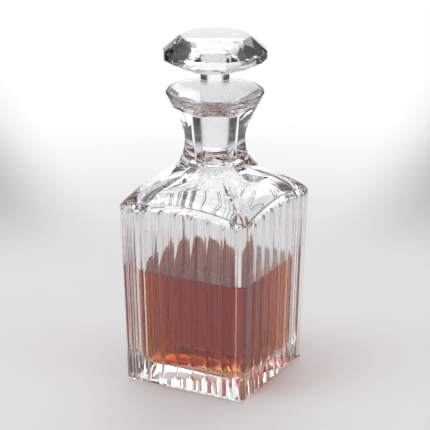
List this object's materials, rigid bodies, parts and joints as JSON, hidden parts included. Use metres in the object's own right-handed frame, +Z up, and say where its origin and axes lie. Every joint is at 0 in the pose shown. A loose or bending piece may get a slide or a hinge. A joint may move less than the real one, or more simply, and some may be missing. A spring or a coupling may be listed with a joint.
{
  "type": "square decanter",
  "caption": "Square cut-glass spirit decanter with fluted sides, a flared neck, a lift-out faceted stopper and amber spirit inside.",
  "frame": {"origin": "centre of the flat base, at rest on a table", "axes": "+Z up along the neck; the fluted faces look along -Y, +X, +Y and -X"},
  "size_m": [0.103, 0.103, 0.2556],
  "materials": {
    "clear_glass": "polished cut glass",
    "stopper_glass": "polished cut glass",
    "amber_liquid": "clear dark amber liquid"
  },
  "bodies": {
    "vessel": {"decanter_body": "clear_glass", "whisky": "amber_liquid"},
    "stopper": {"stopper": "stopper_glass"}
  },
  "joints": [
    {"name": "stopper_lift", "type": "slide", "parent": "vessel", "child": "stopper", "axis": [0, 0, 1], "range_m": [0, 0.06]}
  ]
}
